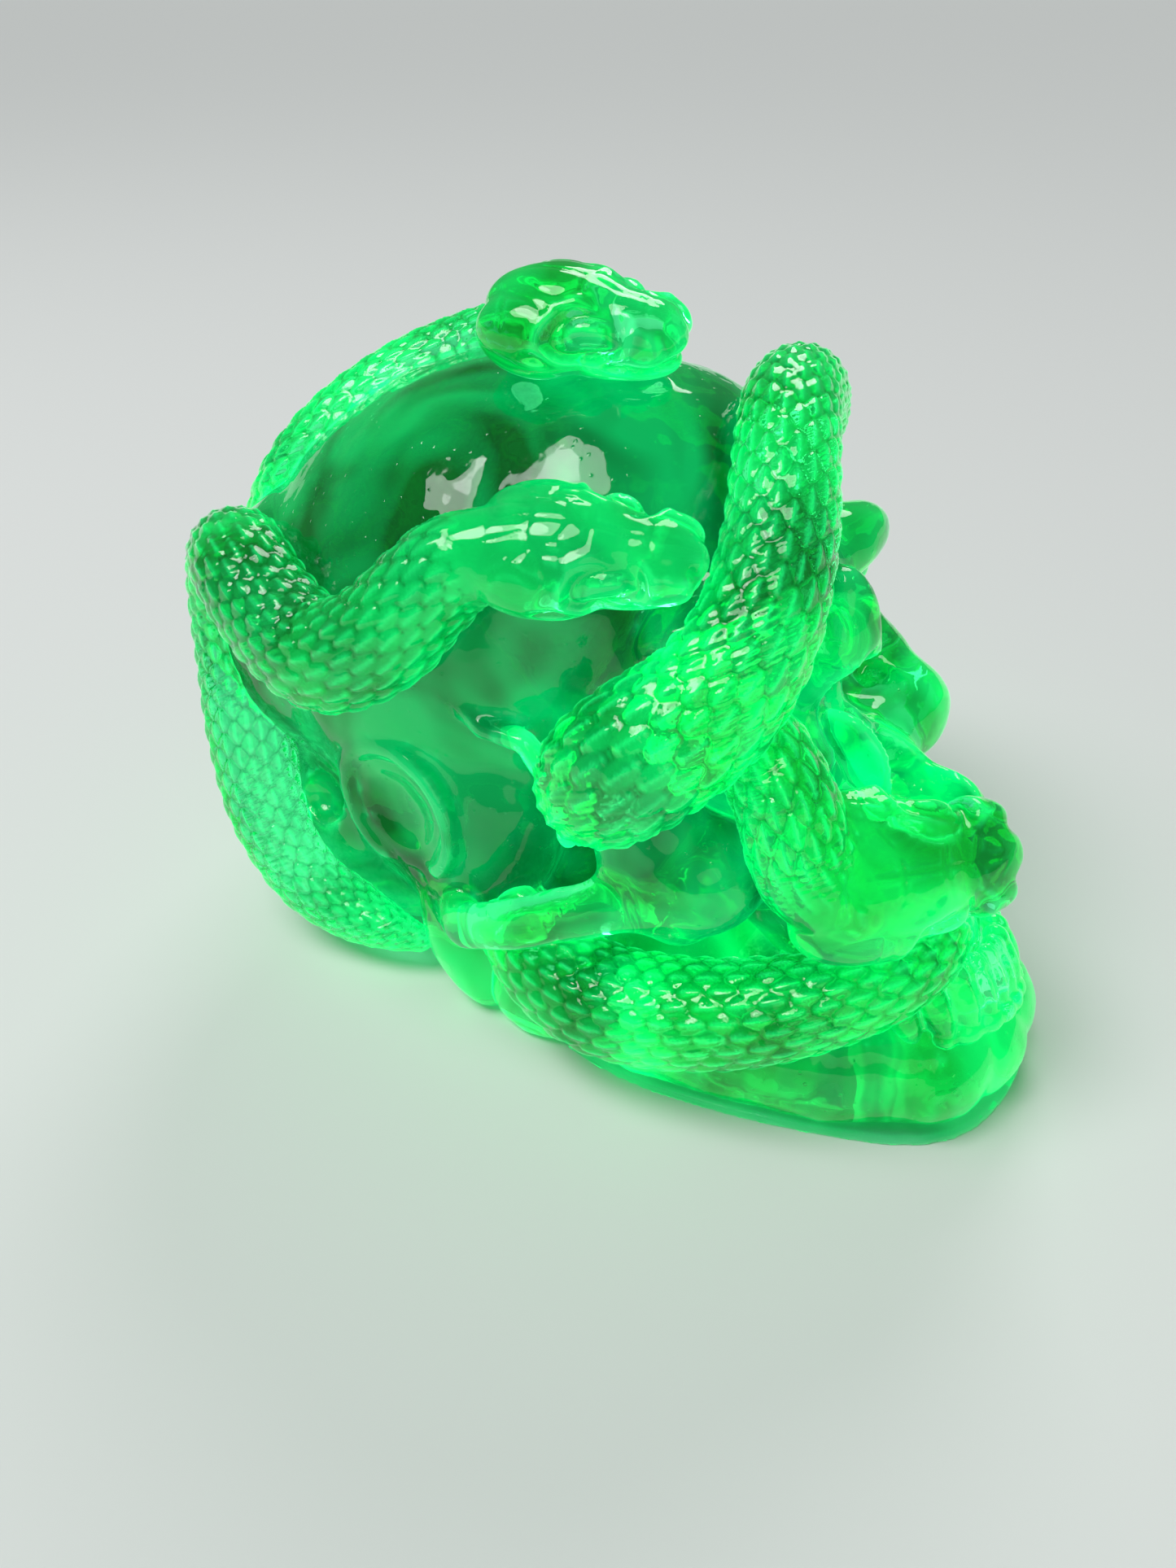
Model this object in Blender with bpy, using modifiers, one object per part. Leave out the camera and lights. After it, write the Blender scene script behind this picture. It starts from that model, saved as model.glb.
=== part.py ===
import math

import bmesh
import bpy
from mathutils import Matrix, Vector

# Driving sizes, in metres. The skull leans back on its jaw; +Z is up and the face looks along -Y.
SKULL_LENGTH = 0.118  # chin to back of the head, along Y
SKULL_WIDTH = 0.066  # widest part of the braincase, along X
SNAKE_GIRTH = 0.0118  # diameter of a snake body at its thickest
FOOT_THICKNESS = 0.0012  # thin flange of glass under the jaw
FOOT_OVERHANG = 0.0022  # how far the flange shows beyond the jaw
CLEARANCE = 0.0003  # gap left between neighbouring pieces
TRIM_MARGIN = 0.00042  # how far a neighbour is swelled before it trims a piece

MM = SKULL_LENGTH / 118.0
WIDE = SKULL_WIDTH / (66.0 * MM)
SWELL = SNAKE_GIRTH / (11.8 * MM)
LEAN = math.radians(-28.0)  # the skull lies on its jaw with the face tipped up
LIFT = 20.4  # height of the ear line above the ground, in MM
HALF_LIFE = 0.5  # the skull's lumps are given in life-size millimetres, upright

GLASS_GREEN = (0.03, 0.9, 0.3, 1.0)

for old in list(bpy.data.objects):
    bpy.data.objects.remove(old, do_unlink=True)

scene = bpy.context.scene
parts = bpy.data.collections.new("uranium_glass_skull")
helpers = bpy.data.collections.new("cutters")
scene.collection.children.link(parts)
scene.collection.children.link(helpers)
helpers.hide_render = True


def skull_frame():
    """Takes the upright life-size skull to the leaning half-size one."""
    lean = Matrix.Rotation(LEAN, 4, "X")
    grow = Matrix.Diagonal((HALF_LIFE * WIDE * MM, HALF_LIFE * MM, HALF_LIFE * MM, 1.0))
    return Matrix.Translation((0.0, 0.0, LIFT * MM)) @ lean @ grow


def ball(bm, centre, radii, turn=0.0, frame=None, mirror=False, across=20, up=12):
    """One ellipsoid lump, and its mirror image on the far side where asked."""
    frame = frame or Matrix.Identity(4)
    for side in (1, -1) if mirror else (1,):
        spot = Matrix.Translation((centre[0] * side, centre[1], centre[2]))
        shape = Matrix.Rotation(math.radians(turn), 4, "X") @ Matrix.Diagonal((*radii, 1.0))
        bmesh.ops.create_uvsphere(
            bm, u_segments=across, v_segments=up, radius=1.0, matrix=frame @ spot @ shape
        )


def mesh_object(name, bm, collection):
    mesh = bpy.data.meshes.new(name)
    bm.to_mesh(mesh)
    bm.free()
    obj = bpy.data.objects.new(name, mesh)
    collection.objects.link(obj)
    return obj


def helper(name, bm):
    obj = mesh_object(name, bm, helpers)
    obj.hide_render = True
    obj.display_type = "WIRE"
    return obj


def bake(obj):
    """Put the modified shape into the object's own mesh, in triangles."""
    bpy.context.view_layer.update()
    graph = bpy.context.evaluated_depsgraph_get()
    mesh = bpy.data.meshes.new_from_object(obj.evaluated_get(graph))
    obj.modifiers.clear()
    obj.data = mesh
    bm = bmesh.new()
    bm.from_mesh(mesh)
    bmesh.ops.triangulate(bm, faces=bm.faces)
    bm.to_mesh(mesh)
    bm.free()


def volume_of(faces):
    return sum(
        f.verts[0].co.dot(f.verts[1].co.cross(f.verts[2].co)) / 6.0 for f in faces if len(f.verts) == 3
    )


def keep_largest(obj):
    """Drop every crumb that a trim leaves, and keep the one main body."""
    bm = bmesh.new()
    bm.from_mesh(obj.data)
    seen, islands = set(), []
    for start in bm.verts:
        if start in seen:
            continue
        stack, verts = [start], set()
        seen.add(start)
        while stack:
            v = stack.pop()
            verts.add(v)
            for e in v.link_edges:
                other = e.other_vert(v)
                if other not in seen:
                    seen.add(other)
                    stack.append(other)
        faces = {f for v in verts for f in v.link_faces}
        islands.append((volume_of(faces), verts))
    islands.sort(key=lambda item: item[0], reverse=True)
    for _, verts in islands[1:]:
        bmesh.ops.delete(bm, geom=list(verts), context="VERTS")
    bm.to_mesh(obj.data)
    bm.free()


def fuse(obj, voxel, rounds, faces):
    """Melt the lumps of an object into one skin, soften it and thin it to a face count."""
    melt = obj.modifiers.new("melt", "REMESH")
    melt.mode = "VOXEL"
    melt.voxel_size = voxel * MM
    soften = obj.modifiers.new("soften", "SMOOTH")
    soften.factor = 0.5
    soften.iterations = rounds
    bake(obj)
    keep_largest(obj)
    thin_to(obj, faces)


def thin_to(obj, faces):
    count = len(obj.data.polygons)
    if count > faces:
        thin = obj.modifiers.new("thin", "DECIMATE")
        thin.ratio = faces / count
        bake(obj)


def swelled(obj, name, by):
    """A copy of a finished piece, grown outwards, that trims its neighbours."""
    copy = bpy.data.objects.new(name, obj.data.copy())
    helpers.objects.link(copy)
    copy.hide_render = True
    copy.display_type = "WIRE"
    grow = copy.modifiers.new("grow", "DISPLACE")
    grow.strength = by
    grow.mid_level = 0.0
    bake(copy)
    return copy


def trim(obj, cutters):
    for cutter in cutters:
        cut = obj.modifiers.new("trim", "BOOLEAN")
        cut.operation = "DIFFERENCE"
        cut.solver = "MANIFOLD"
        cut.object = cutter
        bake(obj)
    keep_largest(obj)


def ground_block(height):
    bm = bmesh.new()
    bmesh.ops.create_cube(
        bm,
        size=1.0,
        matrix=Matrix.Translation((0.0, 0.0, height - 0.05)) @ Matrix.Diagonal((0.4, 0.4, 0.1, 1.0)),
    )
    return helper("ground_%d" % round(height * 1e6), bm)


def centre_on_ground(objects):
    """Put the origin under the middle of the whole object, on the ground it rests on."""
    points = [v.co for obj in objects for v in obj.data.vertices]
    middle = [(min(p[k] for p in points) + max(p[k] for p in points)) / 2 for k in range(2)]
    for obj in objects:
        obj.data.transform(Matrix.Translation((-middle[0], -middle[1], 0.0)))


def glass(obj):
    material = bpy.data.materials.new(obj.name + "_glass")
    material.use_nodes = True
    shader = material.node_tree.nodes["Principled BSDF"]
    shader.inputs["Base Color"].default_value = GLASS_GREEN
    shader.inputs["Roughness"].default_value = 0.08
    shader.inputs["Transmission Weight"].default_value = 0.6
    material.diffuse_color = GLASS_GREEN
    obj.data.materials.clear()
    obj.data.materials.append(material)


def smooth_route(points, steps):
    """Catmull-Rom through (x, y, z, radius) points."""
    path = []
    for i in range(len(points) - 1):
        p0 = points[max(i - 1, 0)]
        p1, p2 = points[i], points[i + 1]
        p3 = points[min(i + 2, len(points) - 1)]
        for s in range(steps):
            t = s / steps
            path.append(
                tuple(
                    0.5
                    * (
                        2 * p1[k]
                        + (p2[k] - p0[k]) * t
                        + (2 * p0[k] - 5 * p1[k] + 4 * p2[k] - p3[k]) * t * t
                        + (3 * p1[k] - p0[k] - 3 * p2[k] + p3[k]) * t * t * t
                    )
                    for k in range(4)
                )
            )
    path.append(points[-1])
    return path


def body(name, route, steps=4):
    """A round body of changing girth along a route of (x, y, z, radius) points in MM, closed at both ends."""
    path = smooth_route(route, steps)
    curve = bpy.data.curves.new(name, "CURVE")
    curve.dimensions = "3D"
    curve.bevel_depth = SWELL * MM
    curve.bevel_resolution = 3
    curve.use_fill_caps = True
    spline = curve.splines.new("POLY")
    spline.points.add(len(path) - 1)
    for point, (x, y, z, radius) in zip(spline.points, path):
        point.co = (x * WIDE * MM, y * MM, z * MM, 1.0)
        point.radius = radius
    source = bpy.data.objects.new(name + "_curve", curve)
    helpers.objects.link(source)
    bpy.context.view_layer.update()
    graph = bpy.context.evaluated_depsgraph_get()
    mesh = bpy.data.meshes.new_from_object(source.evaluated_get(graph))
    bpy.data.objects.remove(source, do_unlink=True)
    bm = bmesh.new()
    bm.from_mesh(mesh)
    bmesh.ops.remove_doubles(bm, verts=bm.verts, dist=0.00002)
    return bm


def snake_head(bm, back, snout, crown, size=1.0):
    """A viper-like head between two points, its flat top facing `crown`. Points in MM."""
    rear = Vector((back[0] * WIDE, back[1], back[2])) * MM
    tip = Vector((snout[0] * WIDE, snout[1], snout[2])) * MM
    along = (tip - rear).normalized()
    top = Vector(crown)
    top = (top - along * top.dot(along)).normalized()
    across = along.cross(top)
    length = (tip - rear).length
    grid = Matrix((across, along, top)).transposed().to_4x4()
    place = Matrix.Translation(rear) @ grid
    g = length * size
    for side in (1, -1):
        ball(bm, (0.2 * g * side, 0.26 * length, -0.02 * g), (0.13 * g, 0.26 * length, 0.17 * g), frame=place)
        ball(bm, (0.15 * g * side, 0.52 * length, 0.11 * g), (0.1 * g, 0.17 * length, 0.08 * g), frame=place)
        ball(bm, (0.215 * g * side, 0.55 * length, 0.045 * g), (0.055 * g, 0.075 * length, 0.055 * g), frame=place)
    ball(bm, (0, 0.36 * length, 0.02 * g), (0.25 * g, 0.4 * length, 0.18 * g), frame=place)
    ball(bm, (0, 0.66 * length, 0.0), (0.2 * g, 0.33 * length, 0.145 * g), frame=place)
    ball(bm, (0, 0.55 * length, -0.1 * g), (0.21 * g, 0.42 * length, 0.09 * g), frame=place)


# name, centre, radii, turn about X, mirrored; life-size millimetres on the upright skull
CRANIUM_LUMPS = (
    ("vault", (0, 3, 48.5), (66, 80, 61), 0, False),
    ("frontal", (0, -38, 50), (52, 47, 46), 0, False),
    ("parietal", (34, 28, 58), (32, 38, 38), 0, True),
    ("occipital", (0, 48, 22), (48, 38, 40), 0, False),
    ("skull_base", (0, 12, -10), (46, 50, 28), 0, False),
    ("temporal", (45, 0, 12), (19, 34, 32), 0, True),
    ("mastoid", (55, 5, -24), (9.5, 12, 21), 0, True),
    ("brow_ridge", (24, -80, 37), (23, 11, 9), 0, True),
    ("glabella", (0, -84, 36), (13, 8, 9), 0, False),
    ("outer_brow", (44, -68, 30), (8, 13, 10), 0, True),
    ("orbit_side", (47, -63, 12), (7, 10, 20), 0, True),
    ("cheekbone", (40, -69, -11), (17, 15, 14), 0, True),
    ("cheek_plate", (45, -62, 0), (12, 13, 17), 0, True),
    ("cheek_point", (44.5, -61, -19), (9, 11, 9), 0, True),
    ("maxilla", (0, -72, -25), (31, 26, 27), 0, False),
    ("gum", (0, -76, -42), (29, 23, 11), 0, False),
    ("upper_lip", (5, -91, -29), (17, 17, 18), 0, True),
    ("nape", (36, 32, -9), (22, 26, 18), 0, True),
    ("nose_bridge", (0, -91, 20), (8, 8, 19), 20, False),
    ("sphenoid", (0, -50, 6), (40, 34, 36), 0, False),
)
ARCH_ROUTE = ((50, -66, -12), (60, -48, -11), (66, -28, -12), (66, -12, -13), (58, 0, -12))
ARCH_RADII = (4.6, 6.5, 7.0)
ORBIT = ((25.5, -92, 10), (19.5, 30, 17.5))
NOSE_PITS = (((0, -102, 1), (9.5, 25, 17.5), False), ((7, -101, -11), (8.5, 23, 11.5), True))
CHEEK_HOLLOW = ((66, -44, 24), (13, 24, 26))


def build_cranium():
    frame = skull_frame()
    bm = bmesh.new()
    for _, centre, radii, turn, mirror in CRANIUM_LUMPS:
        ball(bm, centre, radii, turn, frame, mirror)
    for a, b in zip(ARCH_ROUTE, ARCH_ROUTE[1:]):
        for s in range(4):
            t = s / 4
            spot = tuple(p * (1 - t) + q * t for p, q in zip(a, b))
            ball(bm, spot, ARCH_RADII, 0, frame, True, 12, 8)
    cranium = mesh_object("cranium", bm, parts)
    bm = bmesh.new()
    ball(bm, *ORBIT, 0, frame, True)
    for centre, radii, mirror in NOSE_PITS:
        ball(bm, centre, radii, 0, frame, mirror)
    ball(bm, *CHEEK_HOLLOW, 0, frame, True)
    pits = helper("orbit_and_nose_pits", bm)
    melt = pits.modifiers.new("melt", "REMESH")
    melt.mode = "VOXEL"
    melt.voxel_size = 1.2 * MM
    bake(pits)
    first = cranium.modifiers.new("melt", "REMESH")
    first.mode = "VOXEL"
    first.voxel_size = 1.2 * MM
    bake(cranium)
    trim(cranium, [pits])
    fuse(cranium, 1.2, 4, 3200)
    trim(cranium, [ground_block(0.0)])
    return cranium


# jaw lumps, in MM on the leaning skull: centre, radii, mirrored
JAW_LUMPS = (
    ((5.0, -58.0, 6.2), (8.5, 5.6, 6.6), True),
    ((0.0, -59.6, 6.0), (7.0, 5.4, 6.0), False),
    ((0.0, -50.0, 5.0), (15.0, 12.0, 5.6), False),
    ((0.0, -36.0, 5.0), (21.0, 17.0, 5.8), False),
    ((0.0, -24.0, 5.5), (22.0, 12.0, 6.4), False),
    ((24.6, -17.0, 8.0), (4.0, 6.6, 8.0), True),
    ((26.2, -12.0, 13.0), (3.2, 5.2, 8.0), True),
    ((27.0, -13.5, 5.2), (3.6, 7.5, 6.2), True),
)
JAW_BODY = ((9.0, -57.0, 6.6), (16.0, -48.0, 6.8), (20.5, -38.0, 6.4), (23.5, -28.0, 6.4), (25.0, -19.0, 7.0))
GUM_LINE = ((0.0, -58.5, 10.4), (8.0, -56.0, 10.0), (13.8, -48.5, 8.6), (17.2, -39.0, 7.0), (19.5, -30.0, 6.0))


def build_mandible(cranium_cutter):
    bm = bmesh.new()
    size = Matrix.Diagonal((WIDE * MM, MM, MM, 1.0))
    for centre, radii, mirror in JAW_LUMPS:
        ball(bm, centre, radii, 0, size, mirror)
    for route, radii in ((JAW_BODY, (4.4, 5.0, 6.6)), (GUM_LINE, (3.4, 3.0, 4.6))):
        for a, b in zip(route, route[1:]):
            for s in range(5):
                t = s / 4
                spot = tuple(p * (1 - t) + q * t for p, q in zip(a, b))
                ball(bm, spot, radii, 0, size, True, 12, 8)
    mandible = mesh_object("mandible", bm, parts)
    fuse(mandible, 1.0, 4, 1200)
    trim(mandible, [cranium_cutter, ground_block(FOOT_THICKNESS + CLEARANCE)])
    return mandible


def build_foot():
    """The thin flat flange of glass that spreads under the jaw; its underside is the resting face."""
    half = [(0.0, -64.6), (6.5, -63.8), (12.5, -60.2), (17.5, -53.0), (21.5, -45.0), (25.0, -36.0)]
    half += [(27.4, -27.0), (27.4, -18.0), (22.0, -13.5), (10.0, -12.5)]
    spread = FOOT_OVERHANG / (2.2 * MM)
    outline = [(x, y) for x, y in half] + [(-x, y) for x, y in reversed(half[1:])]
    bm = bmesh.new()
    middle = Vector((0.0, -38.0))
    rim = []
    for x, y in outline:
        out = (Vector((x, y)) - middle).normalized() * (spread - 1.0) * 2.2
        rim.append(bm.verts.new(((x + out.x) * WIDE * MM, (y + out.y) * MM, 0.0)))
    face = bm.faces.new(rim)
    if face.normal.z > 0:
        face.normal_flip()
    grown = bmesh.ops.extrude_face_region(bm, geom=[face])
    for v in (g for g in grown["geom"] if isinstance(g, bmesh.types.BMVert)):
        v.co.z += FOOT_THICKNESS
    bmesh.ops.recalc_face_normals(bm, faces=bm.faces)
    upper = [e for e in bm.edges if all(v.co.z > 0.5 * FOOT_THICKNESS for v in e.verts)]
    bmesh.ops.bevel(bm, geom=upper, offset=0.0004, segments=2, affect="EDGES", profile=0.5)
    bmesh.ops.triangulate(bm, faces=bm.faces)
    return mesh_object("foot_flange", bm, parts)


# tooth widths from the middle out, life-size millimetres
UPPER_WIDTHS = (8.6, 6.8, 7.6, 7.0, 6.8, 10.2, 9.6)
LOWER_WIDTHS = (5.4, 6.0, 7.0, 7.0, 7.2, 11.0, 10.4)


def tooth_row(name, widths, arch, root, tip, back_drop, cutters, frame):
    """One arch of teeth: each tooth a crown, all held on a low ridge."""
    bm = bmesh.new()
    reach_x, reach_y, mid_y = arch
    run = 0.0
    total = sum(widths)
    for k, width in enumerate(widths):
        mid = (run + width / 2) / total
        run += width
        turn = mid * math.radians(82)
        x, y = reach_x * math.sin(turn), mid_y - reach_y * math.cos(turn)
        lift = back_drop * mid
        for side in (1, -1):
            face = Matrix.Translation((x * side, y, (root + tip) / 2 + lift))
            face = face @ Matrix.Rotation(side * turn * 0.95, 4, "Z")
            deep = 3.0 + 1.9 * mid * 2
            tall = abs(root - tip) / 2 + 1.2
            bmesh.ops.create_uvsphere(
                bm,
                u_segments=12,
                v_segments=8,
                radius=1.0,
                matrix=frame @ face @ Matrix.Diagonal((width * 0.56, deep, tall, 1.0)),
            )
            gum = Matrix.Translation((x * side * 0.97, y + 1.0, root + lift))
            bmesh.ops.create_uvsphere(
                bm,
                u_segments=10,
                v_segments=6,
                radius=1.0,
                matrix=frame @ gum @ Matrix.Diagonal((width * 0.75, 4.4, 3.6, 1.0)),
            )
    row = mesh_object(name, bm, parts)
    fuse(row, 0.62, 2, 1000)
    trim(row, cutters)
    return row


# Each snake's route is hand-placed over the bone: x, y, z and radius in MM.


def build_crown_snake(cutters):
    bm = body(
        "crown_snake",
        (
            (-3.0, 4.0, 76.0, 4.6),
            (1.5, 8.5, 74.2, 4.9),
            (5.0, 14.5, 72.0, 5.1),
            (4.5, 21.0, 69.6, 5.3),
            (-0.5, 26.8, 66.6, 5.4),
            (-6.5, 31.2, 62.6, 5.5),
            (-11.5, 34.6, 57.8, 5.6),
            (-14.5, 37.6, 52.0, 5.6),
            (-13.5, 41.8, 45.2, 5.6),
            (-7.0, 46.2, 39.6, 5.5),
            (3.0, 48.5, 35.5, 5.4),
            (13.0, 46.5, 32.0, 5.2),
            (21.5, 40.0, 30.0, 4.9),
            (28.0, 31.0, 28.0, 4.5),
            (32.0, 20.0, 27.0, 3.8),
            (33.0, 10.5, 27.0, 2.7),
        ),
    )
    snake_head(bm, (-5.2, 8.5, 79.0), (-0.2, -13.5, 78.3), (-0.2, -0.1, 1.0), 1.15)
    snake = mesh_object("crown_snake", bm, parts)
    fuse(snake, 0.95, 2, 1300)
    trim(snake, cutters)
    return snake


def build_temple_snake(cutters):
    bm = body(
        "temple_snake",
        (
            (-24.5, -11.0, 62.8, 4.6),
            (-27.3, -6.0, 61.0, 5.0),
            (-29.8, -3.0, 57.5, 5.4),
            (-32.5, 1.0, 52.5, 5.9),
            (-34.5, 8.0, 48.5, 6.1),
            (-33.6, 17.0, 49.5, 6.1),
            (-31.5, 25.0, 52.0, 6.0),
            (-28.0, 32.0, 50.5, 5.9),
            (-27.0, 35.5, 44.0, 5.9),
            (-28.2, 35.0, 35.5, 5.8),
            (-30.8, 32.3, 26.5, 5.6),
            (-33.0, 28.0, 17.2, 5.3),
            (-33.4, 21.4, 10.0, 4.9),
            (-32.2, 14.5, 6.6, 4.2),
            (-31.0, 8.3, 5.8, 3.0),
        ),
    )
    snake_head(bm, (-25.9, -7.5, 63.4), (-15.9, -28.5, 63.9), (-0.75, -0.3, 0.6), 1.02)
    snake = mesh_object("temple_snake", bm, parts)
    fuse(snake, 0.95, 2, 1500)
    trim(snake, cutters)
    return snake


def build_brow_snake(cutters):
    bm = body(
        "brow_snake",
        (
            (-22.2, -19.5, 37.3, 6.0),
            (-25.0, -23.2, 41.5, 7.3),
            (-24.3, -27.4, 46.2, 7.6),
            (-19.6, -31.5, 51.2, 7.0),
            (-14.0, -32.7, 57.3, 6.2),
            (-7.3, -30.4, 63.5, 5.7),
            (-1.0, -26.6, 68.6, 5.4),
            (7.1, -21.8, 71.3, 5.3),
            (15.4, -18.2, 69.8, 5.3),
            (23.2, -14.2, 64.2, 5.3),
            (28.0, -9.0, 57.0, 5.3),
            (31.0, -2.0, 50.0, 5.2),
            (32.5, 7.0, 44.0, 4.8),
            (33.0, 16.0, 40.0, 4.1),
            (32.0, 24.0, 38.5, 3.0),
        ),
    )
    snake = mesh_object("brow_snake", bm, parts)
    fuse(snake, 1.0, 2, 1200)
    trim(snake, cutters)
    return snake


def build_socket_snake(cutters):
    bm = body(
        "socket_snake",
        (
            (-12.5, -27.0, 46.0, 4.0),
            (-14.0, -33.5, 45.0, 4.8),
            (-16.5, -39.5, 41.5, 5.2),
            (-18.0, -43.5, 36.0, 5.3),
            (-16.0, -47.0, 32.5, 5.2),
        ),
    )
    snake_head(bm, (-19.5, -42.5, 33.5), (2.5, -58.0, 33.3), (-0.45, -0.65, 0.6), 1.1)
    snake = mesh_object("socket_snake", bm, parts)
    fuse(snake, 0.9, 2, 1000)
    trim(snake, cutters)
    return snake


def build_jaw_snake(cutters):
    bm = body(
        "jaw_snake",
        (
            (-25.0, -9.0, 14.0, 5.0),
            (-26.5, -16.0, 11.5, 6.0),
            (-26.5, -24.0, 11.0, 6.5),
            (-24.5, -32.0, 12.5, 6.4),
            (-21.5, -39.5, 15.0, 6.0),
            (-17.0, -46.0, 17.5, 5.4),
            (-11.5, -51.0, 19.5, 4.6),
            (-5.5, -53.5, 20.5, 3.6),
            (-1.0, -54.0, 20.5, 2.6),
        ),
    )
    snake = mesh_object("jaw_snake", bm, parts)
    fuse(snake, 0.9, 2, 1000)
    trim(snake, cutters)
    return snake


cranium = build_cranium()
cranium_cutter = swelled(cranium, "cranium_swelled", TRIM_MARGIN)
foot = build_foot()
mandible = build_mandible(cranium_cutter)
mandible_cutter = swelled(mandible, "mandible_swelled", TRIM_MARGIN)
bones = [cranium_cutter, mandible_cutter]

upper = tooth_row("upper_teeth", UPPER_WIDTHS, (25.5, 50, -46), -46, -57, 3.0, bones, skull_frame())
upper_cutter = swelled(upper, "upper_teeth_swelled", TRIM_MARGIN)
lower = tooth_row(
    "lower_teeth", LOWER_WIDTHS, (27, 49, -53.5), -69, -54, 1.0, bones + [upper_cutter], skull_frame()
)
lower_cutter = swelled(lower, "lower_teeth_swelled", TRIM_MARGIN)
bones += [upper_cutter, lower_cutter, swelled(foot, "foot_swelled", CLEARANCE)]

taken = list(bones)
for build in (
    build_jaw_snake,
    build_socket_snake,
    build_brow_snake,
    build_temple_snake,
    build_crown_snake,
):
    snake = build(taken)
    taken.append(swelled(snake, snake.name + "_swelled", TRIM_MARGIN))

centre_on_ground(parts.objects)
for piece in parts.objects:
    glass(piece)
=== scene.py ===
import math

import bmesh
import bpy
import numpy as np
from mathutils import Matrix, Vector


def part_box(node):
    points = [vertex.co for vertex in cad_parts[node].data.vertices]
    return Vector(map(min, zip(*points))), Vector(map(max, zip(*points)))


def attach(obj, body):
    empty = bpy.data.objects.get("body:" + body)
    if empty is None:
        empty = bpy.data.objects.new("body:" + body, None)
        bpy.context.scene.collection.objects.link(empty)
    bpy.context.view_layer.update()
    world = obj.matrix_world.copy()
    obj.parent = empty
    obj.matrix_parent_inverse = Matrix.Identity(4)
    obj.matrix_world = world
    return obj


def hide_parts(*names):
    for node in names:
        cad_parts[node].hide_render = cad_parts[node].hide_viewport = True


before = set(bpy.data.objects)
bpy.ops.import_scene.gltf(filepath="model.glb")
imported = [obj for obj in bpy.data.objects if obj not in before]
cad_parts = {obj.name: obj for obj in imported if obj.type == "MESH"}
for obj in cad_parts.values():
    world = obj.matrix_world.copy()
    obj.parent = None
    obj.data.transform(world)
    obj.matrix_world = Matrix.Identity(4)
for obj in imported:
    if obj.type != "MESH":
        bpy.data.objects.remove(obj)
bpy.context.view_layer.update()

mm = 0.001

skullPose = {
    "lean": math.radians(-28.0),  # the face is tipped up
    "earHeight": 20.4,
    "halfLife": 0.5,  # the bone lumps below are life-size millimetres, upright
    "flangeReach": 64.6,  # from the skull's middle forward to the flange's front edge
}

# the flange under the jaw tells where the skull's own middle stands
footLow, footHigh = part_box("foot_flange")
flangeFront = footLow[1] + skullPose["flangeReach"] * mm
skullMiddle = Vector(((footLow[0] + footHigh[0]) / 2, flangeFront, 0))


def skullPlace():
    grow = skullPose["halfLife"] * mm
    lean = Matrix.Rotation(skullPose["lean"], 4, "X") @ Matrix.Diagonal((grow, grow, grow, 1))
    return Matrix.Translation(skullMiddle + Vector((0, 0, skullPose["earHeight"] * mm))) @ lean


def handPlace():
    return Matrix.Translation(skullMiddle) @ Matrix.Diagonal((mm, mm, mm, 1))


def addLump(bm, centre, radii, place, turn=0.0, mirrored=False, around=28, rows=18):
    # one ball of glass, stretched to its three radii
    for side in (1, -1) if mirrored else (1,):
        spot = Matrix.Translation((centre[0] * side, centre[1], centre[2]))
        swell = Matrix.Rotation(math.radians(turn), 4, "X") @ Matrix.Diagonal((*radii, 1))
        bmesh.ops.create_uvsphere(
            bm, u_segments=around, v_segments=rows, radius=1.0, matrix=place @ spot @ swell
        )


def addChain(bm, route, radii, place, mirrored=True, steps=6):
    # a row of lumps along straight stretches, on both sides of the skull
    for a, b in zip(route, route[1:]):
        for s in range(steps):
            t = s / steps
            spot = tuple(p * (1 - t) + q * t for p, q in zip(a, b))
            addLump(bm, spot, radii, place, 0, mirrored, 16, 10)


def newPiece(name, bm):
    mesh = bpy.data.meshes.new(name)
    bm.to_mesh(mesh)
    bm.free()
    piece = bpy.data.objects.new(name, mesh)
    bpy.context.scene.collection.objects.link(piece)
    return piece


def settle(piece):
    # put the modifiers' result into the piece's own mesh
    bpy.context.view_layer.update()
    graph = bpy.context.evaluated_depsgraph_get()
    mesh = bpy.data.meshes.new_from_object(piece.evaluated_get(graph))
    piece.modifiers.clear()
    piece.data = mesh


def melt(piece, voxel, rounds=2):
    # run the lumps together into one skin of molten glass
    skin = piece.modifiers.new("melt", "REMESH")
    skin.mode = "VOXEL"
    skin.voxel_size = voxel * mm
    soft = piece.modifiers.new("soften", "SMOOTH")
    soft.factor = 0.5
    soft.iterations = rounds
    settle(piece)


def cutAway(piece, cutter, keepCutter=False):
    cut = piece.modifiers.new("cut", "BOOLEAN")
    cut.operation = "DIFFERENCE"
    cut.solver = "MANIFOLD"
    cut.object = cutter
    settle(piece)
    if not keepCutter:
        bpy.data.objects.remove(cutter, do_unlink=True)


def keepBiggest(piece):
    # drop the crumbs that a cut leaves behind
    bm = bmesh.new()
    bm.from_mesh(piece.data)
    seen, islands = set(), []
    for start in bm.verts:
        if start in seen:
            continue
        stack, island = [start], [start]
        seen.add(start)
        while stack:
            for edge in stack.pop().link_edges:
                for other in edge.verts:
                    if other not in seen:
                        seen.add(other)
                        stack.append(other)
                        island.append(other)
        islands.append(island)
    islands.sort(key=len, reverse=True)
    crumbs = [v for island in islands[1:] for v in island]
    if crumbs:
        bmesh.ops.delete(bm, geom=crumbs, context="VERTS")
    bm.to_mesh(piece.data)
    bm.free()


def thinTo(piece, triangles):
    count = len(piece.data.polygons) * 2  # nearly all the faces have four sides
    if count > triangles:
        thin = piece.modifiers.new("thin", "DECIMATE")
        thin.ratio = triangles / count
        thin.use_collapse_triangulate = True
        settle(piece)


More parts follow.
